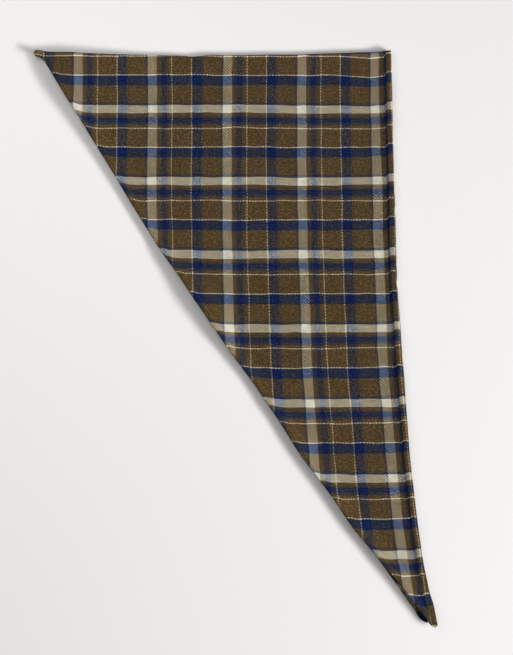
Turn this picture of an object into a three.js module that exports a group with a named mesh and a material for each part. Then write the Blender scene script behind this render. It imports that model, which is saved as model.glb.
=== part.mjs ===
// Folded triangle scarf: one brushed check cloth, hemmed all round and folded once in half.
// Millimetres, +Z up. The cloth lies on z = 0 with its fold at the +Y end and its long hem on
// the +X side. "down" is the distance from the fold towards -Y, "in" the distance from an edge.
import * as THREE from 'three';
import { mergeVertices } from 'three/addons/utils/BufferGeometryUtils.js';

// Flat sizes of the folded triangle
const FOLD_LENGTH = 484; // apex to long hem, along the fold
const HALF_HEM = 774; // fold to tip, along the long hem

// The cloth and its hems
const CLOTH = 1.5; // thickness of the single cloth
const HEM = 3.4; // thickness of the turned hem, three cloths
const HEM_FLAT = 7.5; // the hem keeps its full thickness this far in
const HEM_END = 11.5; // the hem has run out into the single cloth this far in
const LAYER_GAP = 0.8; // space between the two layers in the field
const HEM_GAP = 0.6; // space between the two stacked hems

// The fold
const FOLD_RADIUS = 2.3; // of the cloth's middle, round the bend
const FOLD_REACH = 48; // the raised roll sinks into the field over this distance
const FOLD_BOW = 4.4; // half the fold away from its low point, the fold lies this far above it
const FOLD_LOW = 205; // the low point's distance from the apex

// How the cloth lies
const SWEEP = 43; // the tip has swept this far to +X
const SWEEP_POWER = 3.1;
const SHELF_START = 12; // the upper layer starts to sink from hem height this far in
const LONG_SINK = 20; // and has sunk to the field over this distance at the long hem
const CORNER_LIFT = 8; // the apex corner stands off the table
const CORNER_SPREAD = 118;
const CORNER_POWER = 3; // a higher power keeps more of the corner level
const CORNER_DROOP = 0.8; // share of the lift that is lost again at the apex itself
const DROOP_SPREAD = 46;
const NUB_RADIUS = 4.6; // the bunched hem at the apex is a round knob seen from above
const NUB_CENTRE = -3.2; // its centre, along the fold
const NUB_END = 10.8; // below the knob the slant edge is back on its line
const NUB_BULK = 0.8; // the knob's cloth is this much thicker
const NUB_REACH = 17;
const TIP_RADIUS = 5;

// The field's soft unevenness: its height, and waves by the length of one radian of their turn
const RIPPLE = 0.45;
const BROAD_WAVE = { share: 0.7, across: 47, acrossStart: 1.3, down: 61, downStart: 0.4 };
const FINE_WAVE = { share: 0.3, across: 23, down: -37, start: 2.1 };

// By distance down from the fold: how far each layer's slant hem and the long hem wander from
// their straight lines (+X is positive)
const EDGES = [
  { down: 0, upper: 0, lower: 0, long: 0 },
  { down: 26, upper: -1.2, lower: -0.8, long: 0.3 },
  { down: 60, upper: -1.5, lower: -1, long: 0.8 },
  { down: 100, upper: -0.3, lower: 0.2, long: 1 },
  { down: 160, upper: -0.4, lower: 0.4, long: 1.4 },
  { down: 215, upper: -2.2, lower: -1, long: 1.5 },
  { down: 270, upper: -3, lower: -1.6, long: 0.8 },
  { down: 310, upper: -0.8, lower: 0.6, long: 1 },
  { down: 400, upper: 0.4, lower: 1.6, long: 3.6 },
  { down: 455, upper: 3.6, lower: 4.6, long: 4.8 },
  { down: 500, upper: 3, lower: 3.8, long: 5 },
  { down: 550, upper: -0.2, lower: 0.6, long: 4.4 },
  { down: 600, upper: 1.6, lower: 1.4, long: 5 },
  { down: 640, upper: -0.8, lower: -2, long: 5 },
  { down: 688, upper: 2.2, lower: -0.8, long: 5.4 },
  { down: 720, upper: 4.4, lower: -2.6, long: 7 },
  { down: 750, upper: 4, lower: -5.8, long: 10.2 },
  { down: 774, upper: 3, lower: -9, long: 10.6 },
];
// How far the upper slant hem is lifted, and over what distance the cloth beside it sinks: far
// where the whole edge stands up in a hump, and near where the hem is a ridge beside a trough
const LIFTS = [
  { down: 0, lift: 0.8, sink: 22 },
  { down: 60, lift: 0.6, sink: 16 },
  { down: 110, lift: 1.2, sink: 18 },
  { down: 160, lift: 0.9, sink: 20 },
  { down: 215, lift: 0, sink: 12 },
  { down: 258, lift: 0.2, sink: 11 },
  { down: 305, lift: 3.9, sink: 30 },
  { down: 350, lift: 6.5, sink: 44 },
  { down: 386, lift: 5.2, sink: 30 },
  { down: 420, lift: 1.9, sink: 9 },
  { down: 455, lift: 0.8, sink: 18 },
  { down: 500, lift: 1.3, sink: 10 },
  { down: 550, lift: 1.6, sink: 9 },
  { down: 600, lift: 2.5, sink: 14 },
  { down: 640, lift: 2, sink: 16 },
  { down: 700, lift: 2.2, sink: 13 },
  { down: 774, lift: 1.4, sink: 12 },
];
// How far the lower layer's long edge shows beyond the upper layer's
const SLIP = [
  { down: 0, long: -0.5 },
  { down: 170, long: 0.6 },
  { down: 260, long: 1.8 },
  { down: 420, long: 0.6 },
  { down: 600, long: -1 },
  { down: 700, long: -5 },
  { down: 774, long: -9 },
];

// Sections: across the cloth, in from either edge, and down from the fold
const EDGE_COLUMNS = [0, 0.5, 1.7, 4.5, 7.5, 9.2, 11.5, 15.5, 22, 34];
const FIELD_COLUMNS = 7;
const NARROW = 84; // where the cloth is narrower, its edge columns close up
const BEND_STEPS = 3; // each side of the fold's outermost line
const ROLL_ROWS = [4.2, 6, 7.7, 9, 10.8, 14, 20, 29, 44];
const FIRST_ROW = 64;
const ROW_STEP = 26;
const TIP_ROWS = [20, 12, 7, 4, 2, 0.7, 0]; // distances from the tip's end
const SAME_PLACE = 1e-6;
const JOIN_DISTANCE = 1e-4;

const clothMaterial = new THREE.MeshStandardMaterial({
  name: 'check_flannel',
  color: new THREE.Color().setRGB(0.36, 0.32, 0.24, THREE.SRGBColorSpace),
  roughness: 0.92,
  metalness: 0,
});

function smooth(start, end, value) {
  return THREE.MathUtils.smoothstep(value, start, end);
}

function mix(from, to, share) {
  return THREE.MathUtils.lerp(from, to, share);
}

// A table's column at a distance down from the fold, eased between its rows
function along(table, column, down) {
  const last = table.length - 1;
  const next = table.findIndex((row) => row.down >= down);
  if (next === 0) return table[0][column];
  if (next < 0) return table[last][column];
  const [from, to] = [table[next - 1], table[next]];
  return mix(from[column], to[column], smooth(from.down, to.down, down));
}

function sweep(down) {
  return SWEEP * (Math.max(down, 0) / HALF_HEM) ** SWEEP_POWER;
}

// The fold's line bows: its height above its low point, by distance from the apex
function foldBow(across) {
  return FOLD_BOW * ((across - FOLD_LOW) / (FOLD_LENGTH / 2)) ** 2;
}

function slip(down) {
  return along(SLIP, 'long', down);
}

// The knob's round outline, and under it a quick return to the slant edge's line
function nubbed(slant, down) {
  const depth = Math.min(down, 2 * NUB_RADIUS);
  const bulge = Math.sqrt(NUB_RADIUS ** 2 - (depth - NUB_RADIUS) ** 2);
  return mix(NUB_CENTRE - bulge, slant, smooth(2 * NUB_RADIUS - 1, NUB_END, down));
}

// The slant and the long edge of a layer at a distance down from the fold
function layerEdges(layer, down) {
  const line = (FOLD_LENGTH / HALF_HEM) * down + sweep(down);
  const slant = nubbed(line + along(EDGES, layer, down), down);
  const long = FOLD_LENGTH + sweep(down) + along(EDGES, 'long', down);
  return { slant, long: layer === 'lower' ? long + slip(down) : long };
}

// The tip is blunt: near its end the width is that of a round nose
function roundedEdges(edges, fromEnd) {
  const middle = (edges.slant + edges.long) / 2;
  const depth = Math.min(fromEnd, TIP_RADIUS);
  const nose = Math.sqrt(TIP_RADIUS ** 2 - (TIP_RADIUS - depth) ** 2) + (fromEnd - depth);
  const half = Math.min((edges.long - edges.slant) / 2, nose);
  return { slant: middle - half, long: middle + half };
}

// Full thickness of the cloth or its hem, in from the nearest edge and away from the apex
function thickness(inward, fromApex) {
  const nub = NUB_BULK * (1 - smooth(0, NUB_REACH, fromApex));
  return mix(HEM, CLOTH, smooth(HEM_FLAT, HEM_END, inward)) + nub;
}

// The edge is round: how much of the thickness is left close to it
function roundness(inward, full) {
  const share = Math.min((2 * inward) / full, 1);
  return Math.sqrt(1 - (1 - share) ** 2);
}

function ripple(across, down) {
  const broad = Math.sin(across / BROAD_WAVE.across + BROAD_WAVE.acrossStart)
    * Math.sin(down / BROAD_WAVE.down + BROAD_WAVE.downStart);
  const fine = Math.sin(across / FINE_WAVE.across + down / FINE_WAVE.down + FINE_WAVE.start);
  return RIPPLE * (1 + BROAD_WAVE.share * broad + FINE_WAVE.share * fine);
}

function cornerLift(fromApex) {
  const raised = Math.exp(-((fromApex / CORNER_SPREAD) ** CORNER_POWER));
  const droop = CORNER_DROOP * Math.exp(-((fromApex / DROOP_SPREAD) ** 2));
  return CORNER_LIFT * (raised - droop);
}

// Height of the upper layer's inner face
function upperHeight(across, down, fromSlant, fromLong) {
  const start = SHELF_START + Math.abs(slip(down));
  const nearSlant = 1 - smooth(start, start + along(LIFTS, 'sink', down), fromSlant);
  const nearLong = 1 - smooth(start, start + LONG_SINK, fromLong);
  const field = CLOTH + LAYER_GAP + ripple(across, down);
  const hems = HEM + HEM_GAP + along(LIFTS, 'lift', down) * nearSlant;
  const lying = mix(field, hems, Math.max(nearSlant, nearLong));
  return mix(2 * FOLD_RADIUS, lying, smooth(0, FOLD_REACH, down - FOLD_RADIUS));
}

// Rows of the cloth from the lower tip, round the fold, to the upper tip. A row on a layer has
// its distance down; a row on the bend has the turn from the fold's outermost line.
function makeRows() {
  const layerRows = (layer) => {
    const rows = ROLL_ROWS.map((down) => ({ layer, down, fromEnd: HALF_HEM - down }));
    for (let down = FIRST_ROW; down < HALF_HEM - TIP_ROWS[0] - ROW_STEP / 2; down += ROW_STEP) {
      rows.push({ layer, down, fromEnd: HALF_HEM - down });
    }
    return rows.concat(TIP_ROWS.map((fromEnd) => ({ layer, down: HALF_HEM - fromEnd, fromEnd })));
  };
  const bend = [];
  for (let step = -BEND_STEPS; step <= BEND_STEPS; step += 1) {
    const turn = (step / BEND_STEPS) * (Math.PI / 2);
    bend.push({ layer: step < 0 ? 'lower' : 'upper', turn, down: FOLD_RADIUS * (1 - Math.cos(turn)) });
  }
  const lower = layerRows('lower').reverse();
  return [...lower, ...bend, ...layerRows('upper')];
}

// Places across a row, as distances in from its slant edge
function makeColumns(width) {
  const squeeze = Math.min(1, width / NARROW);
  const edge = EDGE_COLUMNS.map((inward) => inward * squeeze);
  const first = edge[edge.length - 1];
  const step = (width - 2 * first) / FIELD_COLUMNS;
  const field = Array.from({ length: FIELD_COLUMNS - 1 }, (_, i) => first + step * (i + 1));
  return [...edge, ...field, ...edge.map((inward) => width - inward).reverse()];
}

// The outer and inner point of the cloth at one place of a row
function clothPoints(row, slant, width, fromSlant) {
  const fromLong = width - fromSlant;
  const across = slant + fromSlant;
  const inward = Math.min(fromSlant, fromLong);
  const top = foldBow(across - sweep(row.down));
  const fromApex = Math.hypot(across - NUB_CENTRE + NUB_RADIUS, top - row.down);
  const full = thickness(inward, fromApex);
  const fromRim = row.turn === undefined ? Math.min(inward, row.fromEnd) : inward;
  const half = (full / 2) * roundness(fromRim, full);
  const lift = cornerLift(fromApex);
  if (row.turn !== undefined) {
    const centre = FOLD_RADIUS + full / 2 + lift;
    const at = (radius) => [
      across,
      top - FOLD_RADIUS + radius * Math.cos(row.turn),
      centre + radius * Math.sin(row.turn),
    ];
    return { outer: at(FOLD_RADIUS + half), inner: at(FOLD_RADIUS - half) };
  }
  if (row.layer === 'lower') {
    const middle = full / 2 + lift;
    const y = top - row.down;
    return { outer: [across, y, middle - half], inner: [across, y, middle + half] };
  }
  // The upper layer's check stays straight while the fold bows, so its bow dies out
  const y = top * (1 - smooth(0, HALF_HEM / 2, row.down)) - row.down;
  const middle = upperHeight(across, row.down, fromSlant, fromLong) + full / 2 + lift;
  return { outer: [across, y, middle + half], inner: [across, y, middle - half] };
}

// Both faces of the cloth as two grids of points that meet along the rims and at the tips
function makeFaces() {
  const outer = [];
  const inner = [];
  for (const row of makeRows()) {
    const edges = layerEdges(row.layer, row.down);
    const { slant, long } = row.turn === undefined ? roundedEdges(edges, row.fromEnd) : edges;
    const points = makeColumns(long - slant).map((fromSlant) => (
      clothPoints(row, slant, long - slant, fromSlant)
    ));
    outer.push(points.map((point) => point.outer));
    inner.push(points.map((point) => point.inner));
  }
  return { outer, inner };
}

// Triangles between neighbouring rows, leaving out those that a rim or tip closes up
function gridTriangles(grid, outward) {
  const corners = [];
  const same = (a, b) => a.every((value, i) => Math.abs(value - b[i]) < SAME_PLACE);
  const add = (a, b, c) => {
    if (same(a, b) || same(b, c) || same(c, a)) return;
    corners.push(...a, ...(outward ? b : c), ...(outward ? c : b));
  };
  for (let i = 0; i + 1 < grid.length; i += 1) {
    for (let j = 0; j + 1 < grid[i].length; j += 1) {
      const [a, b, c, d] = [grid[i][j], grid[i][j + 1], grid[i + 1][j + 1], grid[i + 1][j]];
      add(a, c, b);
      add(a, d, c);
    }
  }
  return corners;
}

function makeCloth() {
  const { outer, inner } = makeFaces();
  const corners = [...gridTriangles(outer, true), ...gridTriangles(inner, false)];
  const loose = new THREE.BufferGeometry();
  loose.setAttribute('position', new THREE.Float32BufferAttribute(corners, 3));
  const geometry = mergeVertices(loose, JOIN_DISTANCE);
  geometry.computeBoundingBox();
  const centre = geometry.boundingBox.getCenter(new THREE.Vector3());
  geometry.translate(-centre.x, -centre.y, -geometry.boundingBox.min.z);
  geometry.computeVertexNormals();
  return geometry;
}

const scarf = new THREE.Mesh(makeCloth(), clothMaterial);
scarf.name = 'scarf';

const group = new THREE.Group();
group.add(scarf);
export default group;
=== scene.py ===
"""Looks of a folded triangle scarf: one brushed check cloth, hemmed all round and folded in half.

The cloth is worked out in millimetres on a drawing of its own. The drawing's origin is the end of
the fold at the apex, +X runs along the fold to the long hem, and -Y runs down to the tip. The mesh
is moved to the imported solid's place and scaled to metres when it is made. "Down" is the distance
from the fold towards the tip, and "in" is the distance from an edge of the cloth.
"""

import logging
import math
from dataclasses import dataclass, field
from enum import Enum
from typing import Iterator

import bmesh
import bpy
import numpy as np
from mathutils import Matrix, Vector


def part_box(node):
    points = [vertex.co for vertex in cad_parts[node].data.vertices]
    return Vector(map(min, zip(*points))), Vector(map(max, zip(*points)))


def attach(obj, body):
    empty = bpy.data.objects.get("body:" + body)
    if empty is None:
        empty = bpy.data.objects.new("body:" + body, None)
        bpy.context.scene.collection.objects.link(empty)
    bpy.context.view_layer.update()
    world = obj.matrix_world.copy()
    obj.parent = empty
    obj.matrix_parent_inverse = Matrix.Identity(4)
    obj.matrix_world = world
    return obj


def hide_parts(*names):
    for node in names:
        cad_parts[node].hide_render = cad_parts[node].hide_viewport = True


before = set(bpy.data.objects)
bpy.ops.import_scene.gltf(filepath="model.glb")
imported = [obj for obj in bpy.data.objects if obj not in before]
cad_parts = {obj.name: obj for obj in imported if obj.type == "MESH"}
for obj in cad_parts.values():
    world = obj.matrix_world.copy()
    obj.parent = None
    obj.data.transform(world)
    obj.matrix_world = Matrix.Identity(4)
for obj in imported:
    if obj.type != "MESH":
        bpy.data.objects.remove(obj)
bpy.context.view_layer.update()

MM = 0.001
CLOTH_MAP = "cloth"
JOIN_DISTANCE = 1e-6

Grid = np.ndarray
Colour = tuple[float, float, float]

log = logging.getLogger("scarf")


def smooth(start: Grid | float, end: Grid | float, value: Grid | float) -> Grid:
    """Eases from 0 at start to 1 at end.

    Args:
        start: Where the step begins.
        end: Where the step is complete.
        value: The place that is asked for.

    Returns:
        The share of the step that is done, from 0 to 1.
    """
    share = np.clip((value - start) / (end - start), 0.0, 1.0)
    return share * share * (3.0 - 2.0 * share)


def mix(start: Grid | float, end: Grid | float, share: Grid | float) -> Grid:
    """Goes from start to end by a share."""
    return start + (end - start) * share


def hump(middle: float, reach: float, value: Grid | float) -> Grid:
    """Rises to 1 at the middle and dies out over its reach to either side."""
    return np.exp(-(((value - middle) / reach) ** 2))


def linear(red: float, green: float, blue: float) -> Colour:
    """Turns a colour of 0 to 255 display steps into a linear one.

    Args:
        red: Display red.
        green: Display green.
        blue: Display blue.

    Returns:
        The linear colour.
    """
    return tuple(
        step / 255 / 12.92 if step <= 10 else ((step / 255 + 0.055) / 1.055) ** 2.4
        for step in (red, green, blue)
    )


class Unevenness:
    """Soft random relief with no set direction, the same in each run."""

    def __init__(self, seed: int, cell: float, side: int = 96) -> None:
        """Draws the relief's lattice.

        Args:
            seed: Seed of the random numbers.
            cell: Size of one swell of the relief, in mm.
            side: Lattice points along each side.
        """
        self.cell = cell
        self.side = side
        self.lattice = np.random.default_rng(seed).uniform(-1.0, 1.0, (side, side))

    def __call__(self, x: Grid, y: Grid) -> Grid:
        """Gives the relief at places of the drawing.

        Args:
            x: Places along the fold, in mm.
            y: Places across it, in mm.

        Returns:
            Heights from -1 to 1.
        """
        column, row = x / self.cell + self.side / 2, y / self.cell + self.side / 2
        left, low = np.floor(column).astype(int), np.floor(row).astype(int)
        across, up = smooth(0.0, 1.0, column - left), smooth(0.0, 1.0, row - low)

        def at(step_x: int, step_y: int) -> Grid:
            """Gives a lattice height near each place."""
            return self.lattice[(low + step_y) % self.side, (left + step_x) % self.side]

        lower = mix(at(0, 0), at(1, 0), across)
        upper = mix(at(0, 1), at(1, 1), across)
        return mix(lower, upper, up)


class Layer(Enum):
    """Which part of the folded cloth a section crosses."""

    LOWER = "lower"
    FOLD = "fold"
    UPPER = "upper"


@dataclass(frozen=True)
class Section:
    """One section across the cloth, from the slant edge to the long edge."""

    layer: Layer
    down: float
    from_end: float = math.inf
    turn: float = 0.0


@dataclass(frozen=True)
class EdgeRow:
    """How far the edges stray from their lines at one distance down from the fold, in mm."""

    down: float
    upper: float
    lower: float
    long: float


@dataclass(frozen=True)
class LiftRow:
    """How high the upper slant hem stands and how far in the cloth beside it sinks, in mm."""

    down: float
    lift: float
    sink: float


@dataclass(frozen=True)
class SlipRow:
    """How far the lower layer's long edge shows beyond the upper one's, in mm."""

    down: float
    long: float


@dataclass(frozen=True)
class Kink:
    """A rise or dip of the fold's line, in mm."""

    middle: float
    reach: float
    height: float


@dataclass(frozen=True)
class Fade:
    """A share that is whole up to its start and gone at its end, in mm."""

    start: float
    end: float

    def __call__(self, value: Grid | float) -> Grid:
        """Gives the share that is left at a distance."""
        return 1 - smooth(self.start, self.end, value)


@dataclass(frozen=True)
class Relief:
    """Small unevenness of the upper layer's face, in mm."""

    broad_height: float = 0.32
    fine_height: float = 0.16
    pucker_height: float = 0.42
    pucker_middle: float = 15.0
    pucker_reach: float = 9.0
    stitch_depth: float = 0.35
    stitch_line: float = 9.6
    stitch_reach: float = 1.3


@dataclass(frozen=True)
class Waves:
    """Long waves of the upper layer: crossing swells and one slanting wave, in mm and radians."""

    swell_share: float = 0.7
    swell_across: float = 47.0
    swell_down: float = 61.0
    swell_phases: tuple[float, float] = (1.3, 0.4)
    slant_share: float = 0.3
    slant_across: float = 23.0
    slant_down: float = 37.0
    slant_phase: float = 2.1

    def at(self, across: Grid, down: float) -> Grid:
        """Gives the height of the waves, about 1.

        Args:
            across: Distance from the apex along the fold, in mm.
            down: Distance down from the fold, in mm.

        Returns:
            The height, as a share of the mean one.
        """
        first, second = self.swell_phases
        swell = np.sin(across / self.swell_across + first) * np.sin(down / self.swell_down + second)
        slant = np.sin(across / self.slant_across - down / self.slant_down + self.slant_phase)
        return 1 + self.swell_share * swell + self.slant_share * slant


@dataclass(frozen=True)
class CheckPull:
    """How the hems and the lifted corner pull the check out of line, in mm."""

    hem_shift: float = 3.9
    hem_fade: Fade = Fade(6.5, 11.5)
    gather_shift: float = 2.2
    gather_in: Fade = Fade(14, 40)
    gather_down: Fade = Fade(60, 200)
    long_twist: float = 2.4
    long_twist_more: float = 2.2
    long_twist_down: Fade = Fade(60, 700)
    long_rope: Fade = Fade(6.5, 11)
    slant_twist: float = 2.0
    slant_rope: Fade = Fade(4, 13)
    lift_across: float = 0.15
    lift_down: float = 0.30
    corner_drawn: float = 3.0
    corner_middle: tuple[float, float] = (452.0, 20.0)
    corner_reach: tuple[float, float] = (26.0, 60.0)
    drift_across: float = 0.9
    drift_down: float = 0.8
    drift_apart: float = 400.0


def along(rows: tuple[EdgeRow | LiftRow | SlipRow, ...], column: str, down: Grid | float) -> Grid:
    """Reads a table's column at a distance down from the fold, eased between its rows.

    Args:
        rows: The table.
        column: Name of the column.
        down: Distance down from the fold, in mm.

    Returns:
        The column's value there.
    """
    downs = np.array([row.down for row in rows])
    values = np.array([getattr(row, column) for row in rows])
    after = np.clip(np.searchsorted(downs, down), 1, len(rows) - 1)
    share = smooth(downs[after - 1], downs[after], down)
    return mix(values[after - 1], values[after], share)


@dataclass
class FoldedScarf:
    """The scarf: its sizes in mm and its mesh."""

    fold_length: float = 484.0  # from the apex to the long hem
    half_hem: float = 774.0  # from the fold to the tips
    cloth: float = 1.5
    hem: float = 3.4
    hem_flat: float = 6.0  # the hem keeps its full thickness this far in
    hem_end: float = 14.0  # the hem has run out into the single cloth this far in
    layer_gap: float = 0.8  # air between the layers inside the hems
    hem_gap: float = 0.6  # air between the hems
    fold_radius: float = 2.3  # bend of the cloth's middle
    fold_reach: float = 48.0  # from the bend to where the upper layer has sunk
    fold_bow: float = 4.4  # how far the fold's line bows up half its length from its low point
    fold_low: float = 205.0  # place of that low point along the fold
    sweep_most: float = 43.0  # how far the tips have swept to +X
    sweep_power: float = 3.1
    shelf_start: float = 12.0  # the upper layer leaves its hem's height this far in
    long_sink: float = 20.0  # and has sunk this much further in, beside the long hem
    corner_lift: float = 8.0  # the apex corner stands off the table
    corner_spread: float = 118.0
    corner_power: float = 3.0
    corner_droop: float = 0.8  # share of the lift that is lost again at the apex itself
    droop_spread: float = 46.0
    nub_radius: float = 3.9  # the bunched hem at the apex is a round knob seen from above
    nub_centre: float = -3.9  # its centre, along the fold
    nub_end: float = 9.2  # below the knob the slant edge is back on its line
    nub_blend: float = 1.0  # it starts back this much above the knob's foot
    nub_bulk: float = 0.8  # the hem is this much thicker at the apex
    nub_reach: float = 17.0
    ripple_height: float = 0.45
    tip_radius: float = 5.0
    upper_rows: int = 270
    lower_rows: int = 110
    first_row: float = 1.2  # from the bend to a layer's first section
    close_fold: float = 0.35  # how much closer the sections are near the fold
    close_tip: float = 0.55  # and at the tip
    bend_steps: int = 9
    field_columns: int = 62  # places across the cloth between its hems
    narrow: float = 84.0  # the places at the hems draw together below this width
    edge_columns: tuple[float, ...] = (
        0, 0.2, 0.5, 0.9, 1.4, 2.0, 2.8, 3.8, 5.0, 6.3, 7.5,
        8.3, 9.0, 9.6, 10.3, 11.2, 12.5, 14.5, 17.5, 22, 28, 34,
    )
    edges: tuple[EdgeRow, ...] = (
        EdgeRow(0, 0, 0, 0),
        EdgeRow(26, -1.2, -0.8, 0.3),
        EdgeRow(60, -1.5, -1, 0.8),
        EdgeRow(100, -0.3, 0.2, 1),
        EdgeRow(160, -0.4, 0.4, 1.4),
        EdgeRow(215, -2.2, -1, 1.5),
        EdgeRow(270, -3, -1.6, 0.8),
        EdgeRow(310, -0.8, 0.6, 1),
        EdgeRow(400, 0.4, 1.6, 3.6),
        EdgeRow(455, 3.6, 4.6, 4.8),
        EdgeRow(500, 3, 3.8, 5),
        EdgeRow(550, -0.2, 0.6, 4.4),
        EdgeRow(600, 1.6, 1.4, 5),
        EdgeRow(640, -0.8, -2, 5),
        EdgeRow(688, 2.2, -0.8, 5.4),
        EdgeRow(720, 4.4, -2.6, 7),
        EdgeRow(750, 4, -5.8, 10.2),
        EdgeRow(774, 3, -9, 10.6),
    )
    lifts: tuple[LiftRow, ...] = (
        LiftRow(0, 0.8, 22),
        LiftRow(60, 0.6, 16),
        LiftRow(110, 1.2, 18),
        LiftRow(160, 0.9, 20),
        LiftRow(215, 0, 12),
        LiftRow(258, 0.2, 11),
        LiftRow(305, 3.9, 30),
        LiftRow(350, 6.5, 44),
        LiftRow(386, 5.2, 30),
        LiftRow(420, 1.9, 9),
        LiftRow(455, 0.8, 18),
        LiftRow(500, 1.3, 10),
        LiftRow(550, 1.6, 9),
        LiftRow(600, 2.5, 14),
        LiftRow(640, 2, 16),
        LiftRow(700, 2.2, 13),
        LiftRow(774, 1.4, 12),
    )
    slips: tuple[SlipRow, ...] = (
        SlipRow(0, -0.5),
        SlipRow(170, 0.6),
        SlipRow(260, 1.8),
        SlipRow(420, 0.6),
        SlipRow(600, -1),
        SlipRow(700, -5),
        SlipRow(774, -9),
    )
    kinks: tuple[Kink, ...] = (
        Kink(-4, 24, 2.3),
        Kink(38, 22, 1.3),
        Kink(212, 13, -1.9),
        Kink(236, 9, 0.9),
        Kink(352, 20, -0.6),
    )
    small: Relief = Relief()
    waves: Waves = Waves()
    pull: CheckPull = CheckPull()
    broad: Unevenness = field(default_factory=lambda: Unevenness(seed=11, cell=62.0))
    fine: Unevenness = field(default_factory=lambda: Unevenness(seed=23, cell=24.0))
    pucker: Unevenness = field(default_factory=lambda: Unevenness(seed=37, cell=11.0))
    drift: Unevenness = field(default_factory=lambda: Unevenness(seed=41, cell=85.0))

    def sweep(self, down: Grid | float) -> Grid:
        """How far the cloth has swept to +X at a distance down, in mm."""
        return self.sweep_most * (np.maximum(down, 0) / self.half_hem) ** self.sweep_power

    def bow(self, across: Grid) -> Grid:
        """Height of the bowed and kinked fold above its low point, in mm."""
        bow = self.fold_bow * ((across - self.fold_low) / (self.fold_length / 2)) ** 2
        return bow + sum(kink.height * hump(kink.middle, kink.reach, across) for kink in self.kinks)

    def layer_edges(self, layer: Layer, down: float) -> tuple[float, float]:
        """Finds the slant and the long edge of a layer.

        Args:
            layer: The lower or the upper layer.
            down: Distance down from the fold, in mm.

        Returns:
            X of the slant edge and of the long edge, in mm.
        """
        line = self.fold_length / self.half_hem * down + self.sweep(down)
        column = "lower" if layer is Layer.LOWER else "upper"
        slant = self.nubbed(line + along(self.edges, column, down), down)
        long = self.fold_length + self.sweep(down) + along(self.edges, "long", down)
        if layer is Layer.LOWER:
            long += along(self.slips, "long", down)
        return float(slant), float(long)

    def nubbed(self, slant: float, down: float) -> float:
        """Gives the slant edge the knob's round outline near the apex.

        Args:
            slant: X of the slant edge's line, in mm.
            down: Distance down from the fold, in mm.

        Returns:
            X of the slant edge, in mm.
        """
        depth = min(down, 2 * self.nub_radius)
        bulge = math.sqrt(self.nub_radius**2 - (depth - self.nub_radius) ** 2)
        back = smooth(2 * self.nub_radius - self.nub_blend, self.nub_end, down)
        return mix(self.nub_centre - bulge, slant, back)

    def section_edges(self, section: Section) -> tuple[float, float]:
        """Finds a section's two edges, with the tip's blunt nose.

        Args:
            section: The section.

        Returns:
            X of the slant edge and of the long edge, in mm.
        """
        layer = section.layer
        if layer is Layer.FOLD:
            layer = Layer.LOWER if section.turn < 0 else Layer.UPPER
        slant, long = self.layer_edges(layer, section.down)
        if math.isinf(section.from_end):
            return slant, long
        middle = (slant + long) / 2
        depth = min(section.from_end, self.tip_radius)
        nose = math.sqrt(self.tip_radius**2 - (self.tip_radius - depth) ** 2)
        half = min((long - slant) / 2, nose + section.from_end - depth)
        return middle - half, middle + half

    def sections(self) -> Iterator[Section]:
        """Yields the sections from the lower tip, round the fold, to the upper tip."""
        for down in reversed(self.layer_downs(self.lower_rows)):
            yield Section(Layer.LOWER, down, self.half_hem - down)
        for step in range(-self.bend_steps, self.bend_steps + 1):
            turn = step / self.bend_steps * math.pi / 2
            yield Section(Layer.FOLD, self.fold_radius * (1 - math.cos(turn)), turn=turn)
        for down in self.layer_downs(self.upper_rows):
            yield Section(Layer.UPPER, down, self.half_hem - down)

    def layer_downs(self, rows: int) -> list[float]:
        """Spaces a layer's sections, closer near the fold and at the tip.

        Args:
            rows: Number of sections.

        Returns:
            Distances down from the fold, in mm.
        """
        spread = np.linspace(0, 1, rows)
        near_fold, near_tip = spread * (1 - spread) ** 4, spread**6 * (1 - spread)
        eased = spread - self.close_fold * near_fold + self.close_tip * near_tip
        first = self.fold_radius + self.first_row
        return [float(mix(first, self.half_hem, share)) for share in eased]

    def columns(self, width: float) -> Grid:
        """Spaces the places across a section.

        Args:
            width: The section's width, in mm.

        Returns:
            Distances in from the slant edge, in mm.
        """
        edge = np.array(self.edge_columns) * min(1.0, width / self.narrow)
        field_places = np.linspace(edge[-1], width - edge[-1], self.field_columns + 1)[1:-1]
        return np.concatenate([edge, field_places, width - edge[::-1]])

    def thickness(self, inward: Grid, from_apex: Grid) -> Grid:
        """Full thickness of the cloth or its hem, in mm."""
        nub = self.nub_bulk * (1 - smooth(0, self.nub_reach, from_apex))
        return mix(self.hem, self.cloth, smooth(self.hem_flat, self.hem_end, inward)) + nub

    def relief(self, across: Grid, down: Grid | float, inward: Grid) -> Grid:
        """Height of the upper layer's small unevenness.

        Args:
            across: Distance from the apex along the fold, in mm.
            down: Distance down from the fold, in mm.
            inward: Distance in from the nearer edge, in mm.

        Returns:
            Heights in mm.
        """
        small = self.small
        soft = small.broad_height * self.broad(across, down)
        soft = soft + small.fine_height * self.fine(across, down)
        near_hem = hump(small.pucker_middle, small.pucker_reach, inward)
        stitches = -small.stitch_depth * hump(small.stitch_line, small.stitch_reach, inward)
        return soft + small.pucker_height * near_hem * self.pucker(across, down) + stitches

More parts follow.
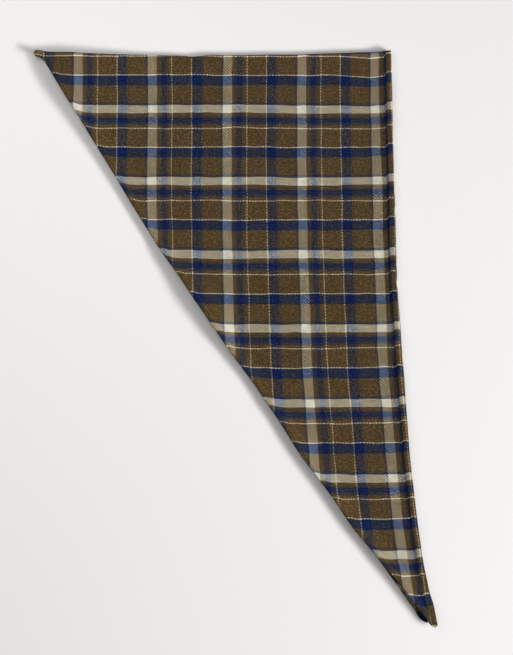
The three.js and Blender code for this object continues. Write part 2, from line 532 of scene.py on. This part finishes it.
    def upper_height(self, across: Grid, down: float, from_slant: Grid, from_long: Grid) -> Grid:
        """Height of the upper layer's inner face.

        Args:
            across: Distance from the apex along the fold, in mm.
            down: Distance down from the fold, in mm.
            from_slant: Distance in from the slant edge, in mm.
            from_long: Distance in from the long edge, in mm.

        Returns:
            Heights in mm.
        """
        start = self.shelf_start + abs(along(self.slips, "long", down))
        sink = along(self.lifts, "sink", down)
        near_slant = 1 - smooth(start, start + sink, from_slant)
        near_long = 1 - smooth(start, start + self.long_sink, from_long)
        lying = self.cloth + self.layer_gap + self.ripple_height * self.waves.at(across, down)
        hems = self.hem + self.hem_gap + along(self.lifts, "lift", down) * near_slant
        lying = mix(lying, hems, np.maximum(near_slant, near_long))
        return mix(2 * self.fold_radius, lying, smooth(0, self.fold_reach, down - self.fold_radius))

    def points(self, section: Section) -> tuple[Grid, Grid, Grid]:
        """Works out the cloth along one section.

        Args:
            section: The section.

        Returns:
            Points of the outer face, points of the inner face and their places on the flat
            cloth, in mm.
        """
        slant, long = self.section_edges(section)
        from_slant = self.columns(long - slant)
        from_long = long - slant - from_slant
        across, inward, down = slant + from_slant, np.minimum(from_slant, from_long), section.down
        top = self.bow(across - self.sweep(down))
        from_apex = np.hypot(across - self.nub_centre + self.nub_radius, top - down)
        full = self.thickness(inward, from_apex)
        rim = inward if section.layer is Layer.FOLD else np.minimum(inward, section.from_end)
        share = np.minimum(2 * rim / full, 1)
        half = full / 2 * np.sqrt(1 - (1 - share) ** 2)
        raised = np.exp(-((from_apex / self.corner_spread) ** self.corner_power))
        droop = self.corner_droop * hump(0, self.droop_spread, from_apex)
        lift = self.corner_lift * (raised - droop)
        if section.layer is Layer.FOLD:
            ease = smooth(-math.pi / 2, math.pi / 2, section.turn)
            relief = self.relief(across, 0.0, inward) * ease
            centre = self.fold_radius + full / 2 + lift + relief
            cos, sin = math.cos(section.turn), math.sin(section.turn)
            axis = top - self.fold_radius
            outer, inner = (
                np.stack([across, axis + radius * cos, centre + radius * sin])
                for radius in (self.fold_radius + half, self.fold_radius - half)
            )
            arc = self.fold_radius * (1 - (math.pi / 2 - section.turn))
            place = self.flat_place(across, down, top - arc, from_slant, from_long, lift)
            return outer, inner, place
        if section.layer is Layer.LOWER:
            middle = full / 2 + lift
            y = top - down
            arc = down - self.fold_radius + self.fold_radius * (math.pi - 1)
            place = self.flat_place(across, down, top + arc, from_slant, from_long, lift)
            return np.stack([across, y, middle - half]), np.stack([across, y, middle + half]), place
        y = top * (1 - smooth(0, self.half_hem / 2, down)) - down
        middle = self.upper_height(across, down, from_slant, from_long) + full / 2 + lift
        middle = middle + self.relief(across, down, inward)
        place = self.flat_place(across, down, y, from_slant, from_long, lift)
        return np.stack([across, y, middle + half]), np.stack([across, y, middle - half]), place

    def flat_place(
        self, across: Grid, down: float, up: Grid, from_slant: Grid, from_long: Grid, lift: Grid,
    ) -> Grid:
        """Finds where points lie on the flat cloth, along which its check is straight.

        Args:
            across: Distance from the apex along the fold, in mm.
            down: Distance down from the fold, in mm.
            up: Height on the drawing as the check runs, in mm.
            from_slant: Distance in from the slant edge, in mm.
            from_long: Distance in from the long edge, in mm.
            lift: How far the corner's cloth stands off the table, in mm.

        Returns:
            Places across and down the cloth, in mm.
        """
        pull = self.pull
        gathered = pull.gather_in(from_long) * pull.gather_down(down)
        u = across - self.sweep(down) - pull.lift_across * lift
        u = u + pull.hem_shift * pull.hem_fade(from_long) + pull.gather_shift * gathered
        u = u + pull.drift_across * self.drift(across, down)
        near_corner = math.prod(
            hump(middle, reach, value)
            for middle, reach, value in zip(pull.corner_middle, pull.corner_reach, (across, down))
        )
        long_twist = pull.long_twist + pull.long_twist_more * pull.long_twist_down(down)
        v = -up - pull.lift_down * lift - pull.corner_drawn * near_corner
        v = v + long_twist * pull.long_rope(from_long)
        v = v + pull.slant_twist * pull.slant_rope(from_slant)
        v = v + pull.drift_down * self.drift(across + pull.drift_apart, down)
        return np.stack([u, v])

    def build(self) -> bpy.types.Object:
        """Makes the cloth's closed mesh, with its place on the flat cloth as a UV map.

        Returns:
            The scarf, in metres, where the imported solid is.
        """
        rows = [self.points(section) for section in self.sections()]
        outer, inner, flat = (np.array([row[part].T for row in rows]) for part in range(3))
        count, width = outer.shape[:2]
        number = np.arange(count * width).reshape(count, width)
        rim = np.zeros((count, width), bool)
        rim[:, [0, -1]] = True
        rim[[0, -1], :] = True
        inner_number = np.where(rim, number, number + count * width)

        def quads(grid: Grid, flip: bool) -> Grid:
            """Joins neighbouring points of a face into quads."""
            corners = [grid[:-1, :-1], grid[1:, :-1], grid[1:, 1:], grid[:-1, 1:]]
            return np.stack(corners[::-1] if flip else corners, axis=-1).reshape(-1, 4)

        faces = np.concatenate([quads(number, True), quads(inner_number, False)])
        points = np.concatenate([outer.reshape(-1, 3), inner.reshape(-1, 3)])
        places = np.concatenate([flat.reshape(-1, 2), flat.reshape(-1, 2)])
        low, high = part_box("scarf")
        centre = np.array([*(points.min(0)[:2] + points.max(0)[:2]) / 2, points[:, 2].min()])
        solid_foot = np.array([(low.x + high.x) / 2, (low.y + high.y) / 2, low.z])
        points = (points - centre) * MM + solid_foot
        log.info("drawing's centre %s mm", np.round(centre, 2))
        return self.make_object("scarf_cloth", points, faces, places)

    def make_object(self, name: str, points: Grid, faces: Grid, places: Grid) -> bpy.types.Object:
        """Turns points and quads into a mesh object.

        Args:
            name: Name of the piece.
            points: Points in metres.
            faces: Four point numbers a face.
            places: Each point's place on the flat cloth, in mm.

        Returns:
            The object.
        """
        mesh = bpy.data.meshes.new(name)
        mesh.from_pydata(points.tolist(), [], faces.tolist())
        corners = np.zeros(len(mesh.loops), int)
        mesh.loops.foreach_get("vertex_index", corners)
        uv_map = mesh.uv_layers.new(name=CLOTH_MAP)
        uv_map.data.foreach_set("uv", (places[corners] * MM).astype(np.float32).ravel())
        sheet = bmesh.new()
        sheet.from_mesh(mesh)
        bmesh.ops.dissolve_degenerate(sheet, dist=JOIN_DISTANCE, edges=sheet.edges)
        sheet.to_mesh(mesh)
        sheet.free()
        mesh.polygons.foreach_set("use_smooth", np.ones(len(mesh.polygons), bool))
        piece = bpy.data.objects.new(name, mesh)
        bpy.context.scene.collection.objects.link(piece)
        return piece


class Link:
    """A shader socket on which Python's operators add Math nodes."""

    def __init__(self, shader: "Shader", socket: bpy.types.NodeSocket) -> None:
        """Keeps the socket and the shader it belongs to.

        Args:
            shader: The shader that nodes are added to.
            socket: The output socket.
        """
        self.shader = shader
        self.socket = socket

    def __add__(self, other: "Link | float") -> "Link":
        """Adds a value."""
        return self.shader.math("ADD", self, other)

    __radd__ = __add__

    def __mul__(self, other: "Link | float") -> "Link":
        """Multiplies by a value."""
        return self.shader.math("MULTIPLY", self, other)

    __rmul__ = __mul__

    def __sub__(self, other: "Link | float") -> "Link":
        """Takes a value away."""
        return self.shader.math("SUBTRACT", self, other)

    def __rsub__(self, other: "Link | float") -> "Link":
        """Is taken away from a value."""
        return self.shader.math("SUBTRACT", other, self)

    def __truediv__(self, other: "Link | float") -> "Link":
        """Divides by a value."""
        return self.shader.math("DIVIDE", self, other)

    def __mod__(self, other: "Link | float") -> "Link":
        """Leaves the rest of a division, never below 0."""
        return self.shader.math("FLOORED_MODULO", self, other)

    def __lt__(self, other: "Link | float") -> "Link":
        """Is 1 where this is less than a value and 0 elsewhere."""
        return self.shader.math("LESS_THAN", self, other)

    def floor(self) -> "Link":
        """Rounds down."""
        return self.shader.math("FLOOR", self)


class Shader:
    """The node tree of one finish."""

    def __init__(self, name: str) -> None:
        """Starts an empty material.

        Args:
            name: Name of the material.
        """
        self.material = bpy.data.materials.new(name)
        self.material.use_nodes = True
        self.tree = self.material.node_tree
        self.tree.nodes.clear()

    def node(
        self, kind: str, settings: dict[str, object] | None = None,
        values: dict[str | int, object] | None = None, output: str | int = 0,
    ) -> Link:
        """Adds one node.

        Args:
            kind: The node's type.
            settings: Its settings, and the stops of a ramp.
            values: A value or a link for each socket that is set.
            output: The output socket that is wanted.

        Returns:
            That output.
        """
        made = self.tree.nodes.new(kind)
        for name, value in (settings or {}).items():
            if name == "stops":
                self.set_stops(made.color_ramp, value)
            elif name == "between":
                made.color_ramp.interpolation = value
            else:
                setattr(made, name, value)
        for name, value in (values or {}).items():
            found = (each for each in made.inputs if each.identifier == name)
            socket = next(found, None) or made.inputs[name]
            if isinstance(value, Link):
                self.tree.links.new(value.socket, socket)
            else:
                socket.default_value = value
        if isinstance(output, str):
            found = (each for each in made.outputs if output in (each.identifier, each.name))
            return Link(self, next(found))
        return Link(self, made.outputs[output] if made.outputs else made.inputs[0])

    @staticmethod
    def set_stops(ramp: bpy.types.ColorRamp, stops: list[tuple[float, Colour]]) -> None:
        """Gives a ramp its stops.

        Args:
            ramp: The ramp.
            stops: Places from 0 to 1 with their colours.
        """
        while len(ramp.elements) > 1:
            ramp.elements.remove(ramp.elements[-1])
        for index, (place, colour) in enumerate(stops):
            stop = ramp.elements[0] if index == 0 else ramp.elements.new(place)
            stop.position = place
            stop.color = (*colour, 1.0)

    def math(self, operation: str, *values: Link | float) -> Link:
        """Adds a Math node."""
        return self.node("ShaderNodeMath", {"operation": operation}, dict(enumerate(values)))

    def noise(self, vector: Link, grain: "Grain") -> Link:
        """Adds a noise.

        Args:
            vector: The place that it is read at.
            grain: How fine it is.

        Returns:
            The noise, from 0 to 1.
        """
        values = {
            "Vector": vector,
            "Scale": grain.scale,
            "Detail": grain.detail,
            "Roughness": grain.roughness,
        }
        return self.node("ShaderNodeTexNoise", {"noise_dimensions": "3D"}, values)

    def swell(self, vector: Link, grain: "Grain") -> Link:
        """Adds a noise that is centred on 0."""
        return self.noise(vector, grain) - 0.5

    def blend(
        self, first: Link | tuple, second: Link | tuple, share: Link | float, kind: str = "MIX",
    ) -> Link:
        """Adds a Mix node for colours.

        Args:
            first: The first colour.
            second: The second colour.
            share: How much of the mix is taken, from 0 to 1.
            kind: How the colours are mixed.

        Returns:
            The mixed colour.
        """
        values = {"Factor_Float": share, "A_Color": first, "B_Color": second}
        settings = {"data_type": "RGBA", "blend_type": kind}
        return self.node("ShaderNodeMix", settings, values, "Result_Color")

    def finish(self, values: dict[str, object]) -> bpy.types.Material:
        """Closes the tree with its surface shader.

        Args:
            values: Values and links of the surface shader.

        Returns:
            The material.
        """
        surface = self.node("ShaderNodeBsdfPrincipled", None, values)
        self.node("ShaderNodeOutputMaterial", None, {"Surface": surface})
        return self.material


@dataclass(frozen=True)
class Grain:
    """How fine a noise is: its swells a metre, its finer octaves and their weight."""

    scale: float
    detail: float = 2.0
    roughness: float = 0.5


class Yarn(Enum):
    """The dyed yarns, as linear colours."""

    CREAM = linear(207, 202, 184)
    PALE = linear(208, 200, 178)
    OLIVE = linear(78, 61, 36)
    NAVY = linear(9, 25, 68)
    INK = linear(40, 45, 60)


@dataclass(frozen=True)
class Stripes:
    """One repeat of the check's stripes: where it starts, a yarn's width and the yarns in order."""

    start: float
    pitch: float
    order: tuple[tuple[Yarn, int], ...]

    @property
    def count(self) -> int:
        """Yarns in one repeat."""
        return sum(number for _, number in self.order)

    def stops(self) -> list[tuple[float, Colour]]:
        """Places the stripes along a ramp of one repeat.

        Returns:
            The ramp's stops.
        """
        stops, passed = [], 0
        for yarn, number in self.order:
            stops.append((passed / self.count, yarn.value))
            passed += number
        return stops

    def place(self, along_cloth: Link) -> Link:
        """Turns metres along the cloth into yarns."""
        return along_cloth / (self.pitch * MM) - self.start / self.pitch

    def colour(self, shader: Shader, number: Link) -> Link:
        """Looks up the colour of a numbered yarn.

        Args:
            shader: The shader that nodes are added to.
            number: The yarn's number, also beyond one repeat.

        Returns:
            The yarn's colour.
        """
        place = ((number % float(self.count)) + 0.5) / float(self.count)
        ramp = {"between": "CONSTANT", "stops": self.stops()}
        return shader.node("ShaderNodeValToRGB", ramp, {"Fac": place})


@dataclass(frozen=True)
class CheckFlannel:
    """The brushed check flannel: a three-and-three twill of dyed yarns with a raised nap."""

    across: Stripes = Stripes(47.5, 0.6866, (
        (Yarn.CREAM, 18), (Yarn.OLIVE, 6), (Yarn.NAVY, 1), (Yarn.OLIVE, 2), (Yarn.NAVY, 11),
        (Yarn.OLIVE, 2), (Yarn.NAVY, 1), (Yarn.OLIVE, 6), (Yarn.PALE, 2), (Yarn.OLIVE, 37),
        (Yarn.PALE, 2), (Yarn.OLIVE, 1), (Yarn.NAVY, 18), (Yarn.OLIVE, 2), (Yarn.NAVY, 1),
        (Yarn.OLIVE, 34), (Yarn.INK, 5),
    ))
    down: Stripes = Stripes(69.62, 0.6765, (
        (Yarn.CREAM, 16), (Yarn.OLIVE, 6), (Yarn.NAVY, 1), (Yarn.OLIVE, 2), (Yarn.NAVY, 12),
        (Yarn.OLIVE, 1), (Yarn.NAVY, 1), (Yarn.OLIVE, 7), (Yarn.PALE, 3), (Yarn.OLIVE, 36),
        (Yarn.CREAM, 3), (Yarn.NAVY, 18), (Yarn.OLIVE, 1), (Yarn.NAVY, 1), (Yarn.OLIVE, 35),
        (Yarn.INK, 6),
    ))
    warp_share: float = 0.41  # how much of the warp's colour shows on the whole
    twill_contrast: float = 0.3  # how much more and less shows on and off the twill's floats
    twill_yarns: float = 6.0  # one repeat of the twill
    twill_over: float = 2.5  # yarns 0, 1 and 2 of the repeat lie over
    ridge_shift: float = 2.0  # the painted highlight on a ridge lies beside the float
    wander: Grain = Grain(480.0)
    wander_yarns: float = 0.9
    sway_across: Grain = Grain(26.0)
    sway_ends: float = 4.0
    sway_down: Grain = Grain(31.0)
    sway_picks: float = 6.0
    fuzz: Grain = Grain(1150.0, 2.0, 0.6)
    lint: Grain = Grain(430.0, 2.0, 0.6)
    lint_weight: float = 0.5
    blotch: Grain = Grain(270.0, 2.0, 0.6)
    blotch_weight: float = 0.6
    mottle: Grain = Grain(190.0, 3.0, 0.6)
    mottle_weight: float = 0.6
    cloudy: Grain = Grain(45.0)
    cloudy_weight: float = 0.4
    nap_stretch: tuple[float, float, float] = (0.7, 1.0, 1.0)  # tufts are longer across
    lightness: float = 0.92
    # painted highlight on the twill's ridges
    painted_ridge_highlight: float = 0.14
    rim_end: float = 0.0018  # metres down the cloth where the painted highlight on the fold's rim ends
    # painted highlight on the fold's rim
    painted_rim_highlight: float = 0.35
    under_start: float = -0.04  # metres up the lower layer where its painted shade starts
    # painted shade on the lower layer, under the upper one
    painted_under_shade: float = 0.55
    rib_height: float = 0.5
    fuzz_height: float = 0.9
    mottle_height: float = 0.8
    bump_strength: float = 0.35
    bump_distance: float = 0.0004

    def material(self) -> bpy.types.Material:
        """Builds the flannel's material.

        Returns:
            The material.
        """
        shader = Shader("check_flannel")
        cloth = shader.node("ShaderNodeUVMap", {"uv_map": CLOTH_MAP}, None, "UV")
        u = shader.node("ShaderNodeSeparateXYZ", None, {"Vector": cloth}, "X")
        v = shader.node("ShaderNodeSeparateXYZ", None, {"Vector": cloth}, "Y")
        stretch = {"Vector": cloth, "Vector_001": self.nap_stretch}
        drawn = shader.node("ShaderNodeVectorMath", {"operation": "MULTIPLY"}, stretch)
        wander = shader.swell(cloth, self.wander) * self.wander_yarns
        sway_across = shader.swell(cloth, self.sway_across) * self.sway_ends
        sway_down = shader.swell(cloth, self.sway_down) * self.sway_picks
        end = (self.across.place(u) + wander + sway_across).floor()
        pick = (self.down.place(v) + wander + sway_down).floor()
        over = ((end - pick) % self.twill_yarns) < self.twill_over
        # the twill's ridges, where a painted highlight goes
        ridge = ((end - pick + self.ridge_shift) % self.twill_yarns) < self.twill_over
        mottle = shader.swell(drawn, self.mottle)
        colour = self.woven(shader, end, pick, over, cloth, drawn)
        # the grey holds the nap's own tone together with painted highlights and painted shade
        light = self.light(shader, v, ridge, mottle, cloth)
        rib = over * self.rib_height + mottle * self.mottle_height
        rib = rib + shader.swell(cloth, self.fuzz) * self.fuzz_height
        raised = {"Height": rib, "Strength": self.bump_strength, "Distance": self.bump_distance}
        return shader.finish({
            "Base Color": shader.blend(colour, light, 1.0, "MULTIPLY"),
            "Roughness": 0.94,
            "Specular IOR Level": 0.08,
            "Sheen Weight": 0.05,
            "Sheen Roughness": 0.5,
            "Normal": shader.node("ShaderNodeBump", None, raised, "Normal"),
        })

    def woven(
        self, shader: Shader, end: Link, pick: Link, over: Link, cloth: Link, drawn: Link,
    ) -> Link:
        """Mixes the two yarns that cross, each to the power of its share, as dyed fibres mix.

        Args:
            shader: The shader that nodes are added to.
            end: Number of the warp yarn.
            pick: Number of the weft yarn.
            over: 1 where the warp lies on top.
            cloth: Place on the flat cloth.
            drawn: The same place, drawn together across, for the nap.

        Returns:
            The colour.
        """
        share = over * (2 * self.twill_contrast) + (self.warp_share - self.twill_contrast)
        share = share + shader.swell(cloth, self.blotch) * self.blotch_weight
        lint = shader.swell(drawn, self.lint) * self.lint_weight
        warp = {"Color": self.across.colour(shader, end), "Gamma": share + lint}
        weft = {"Color": self.down.colour(shader, pick), "Gamma": 1 - share + lint}
        parts = (shader.node("ShaderNodeGamma", None, values) for values in (warp, weft))
        return shader.blend(*parts, 1.0, "MULTIPLY")

    def light(self, shader: Shader, v: Link, ridge: Link, mottle: Link, cloth: Link) -> Link:
        """Makes the grey that lightens and darkens the cloth: the nap's own tufts and cloudy tone,
        with painted highlights and painted shade.

        Args:
            shader: The shader that nodes are added to.
            v: Place down the flat cloth from the fold, in metres, below 0 on the lower layer.
            ridge: 1 on the twill's ridges, where a painted highlight goes.
            mottle: The nap's tufts.
            cloth: Place on the flat cloth.

        Returns:
            The grey, with painted highlights on the fold's rim and the ridges, and painted shade on
            the lower layer.
        """
        cloudy = shader.swell(cloth, self.cloudy) * self.cloudy_weight
        # the ridges get a painted highlight; the tufts and cloudiness are the nap's own tone
        light = mottle * self.mottle_weight + cloudy + ridge * self.painted_ridge_highlight + self.lightness
        # painted highlight from the fold's rim on round to the lower layer, where the turning fold
        # would be shaded
        light = light + (v < self.rim_end) * self.painted_rim_highlight
        # painted shade on the lower layer, which lies under the upper one
        light = light - (v < self.under_start) * self.painted_under_shade
        return shader.node("ShaderNodeCombineXYZ", None, {"X": light, "Y": light, "Z": light})


@dataclass(frozen=True)
class PaperFloor:
    """The plain pale floor."""

    side: float = 14.0
    tone: Colour = linear(243, 241, 240)
    dark_share: float = 0.99
    grain: Grain = Grain(3.0)

    def build(self) -> bpy.types.Object:
        """Makes the floor at table height.

        Returns:
            The floor.
        """
        half = self.side / 2
        mesh = bpy.data.meshes.new("floor")
        corners = [(-half, -half, 0), (half, -half, 0), (half, half, 0), (-half, half, 0)]
        mesh.from_pydata(corners, [], [(0, 1, 2, 3)])
        floor = bpy.data.objects.new("floor", mesh)
        bpy.context.scene.collection.objects.link(floor)
        shader = Shader("paper")
        place = shader.node("ShaderNodeTexCoord", None, None, "Object")
        dark = tuple(self.dark_share * part for part in self.tone)
        share = shader.noise(place, self.grain)
        colour = shader.blend((*self.tone, 1.0), (*dark, 1.0), share)
        surface = {"Base Color": colour, "Roughness": 0.9, "Specular IOR Level": 0.1}
        mesh.materials.append(shader.finish(surface))
        return floor


@dataclass(frozen=True)
class SoftLight:
    """A soft rectangular light that faces the table."""

    name: str
    heading: float
    height: float
    distance: float
    width: float
    depth: float
    watts: float

    def build(self, aim: Vector) -> None:
        """Hangs the light and turns it to the table.

        Args:
            aim: The point that it faces.
        """
        lamp = bpy.data.lights.new(self.name, "AREA")
        lamp.shape = "RECTANGLE"
        lamp.size, lamp.size_y = self.width, self.depth
        lamp.energy = self.watts
        holder = bpy.data.objects.new(self.name, lamp)
        bpy.context.scene.collection.objects.link(holder)
        turn, rise = math.radians(self.heading), math.radians(self.height)
        flat = math.cos(rise)
        towards = Vector((math.cos(turn) * flat, math.sin(turn) * flat, math.sin(rise)))
        holder.location = aim + towards * self.distance
        holder.rotation_euler = towards.to_track_quat("Z", "Y").to_euler()
        holder.visible_camera = False


@dataclass(frozen=True)
class Studio:
    """The camera above the table and the light round it."""

    aim: tuple[float, float, float] = (0.03404, 0.0073, 0.0)
    elevation: float = 83.5
    distance: float = 1.994
    lens: float = 81.18
    sensor: float = 36.0
    lights: tuple[SoftLight, ...] = (
        SoftLight("window", -23, 20, 5.2, 1.8, 0.42, 325),
        SoftLight("window_glow", -18, 27, 5.2, 4.2, 1.6, 145),
        SoftLight("soft_box", 135, 50, 1.08, 0.8, 0.8, 3.3),
        SoftLight("side", 160, 30, 2.5, 2.0, 1.0, 6),
        SoftLight("front", -70, 45, 3.0, 2.0, 2.0, 9),
    )
    fill: Colour = (0.06, 0.06, 0.06)

    def build(self) -> None:
        """Makes the camera, the lights and the dim room light."""
        aim = Vector(self.aim)
        camera = bpy.data.objects.new("camera", bpy.data.cameras.new("camera"))
        camera.data.lens = self.lens
        camera.data.sensor_width = self.sensor
        bpy.context.scene.collection.objects.link(camera)
        rise = math.radians(self.elevation)
        towards = Vector((0, -math.cos(rise), math.sin(rise)))
        camera.location = aim + towards * self.distance
        camera.rotation_euler = towards.to_track_quat("Z", "Y").to_euler()
        bpy.context.scene.camera = camera
        for light in self.lights:
            light.build(aim)
        world = bpy.data.worlds.new("room")
        world.use_nodes = True
        world.node_tree.nodes["Background"].inputs["Color"].default_value = (*self.fill, 1.0)
        bpy.context.scene.world = world
        bpy.context.scene.view_settings.view_transform = "Standard"


def main() -> None:
    """Builds the scarf and the studio round it."""
    logging.basicConfig(level=logging.INFO, format="%(name)s: %(message)s")
    scarf = FoldedScarf()
    cloth = scarf.build()
    cloth.data.materials.append(CheckFlannel().material())
    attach(cloth, "root")
    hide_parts("scarf")
    log.info("cloth: %d faces", len(cloth.data.polygons))
    PaperFloor().build()
    Studio().build()
    log.info("studio: camera and lights")


if __name__ == "__main__":
    main()
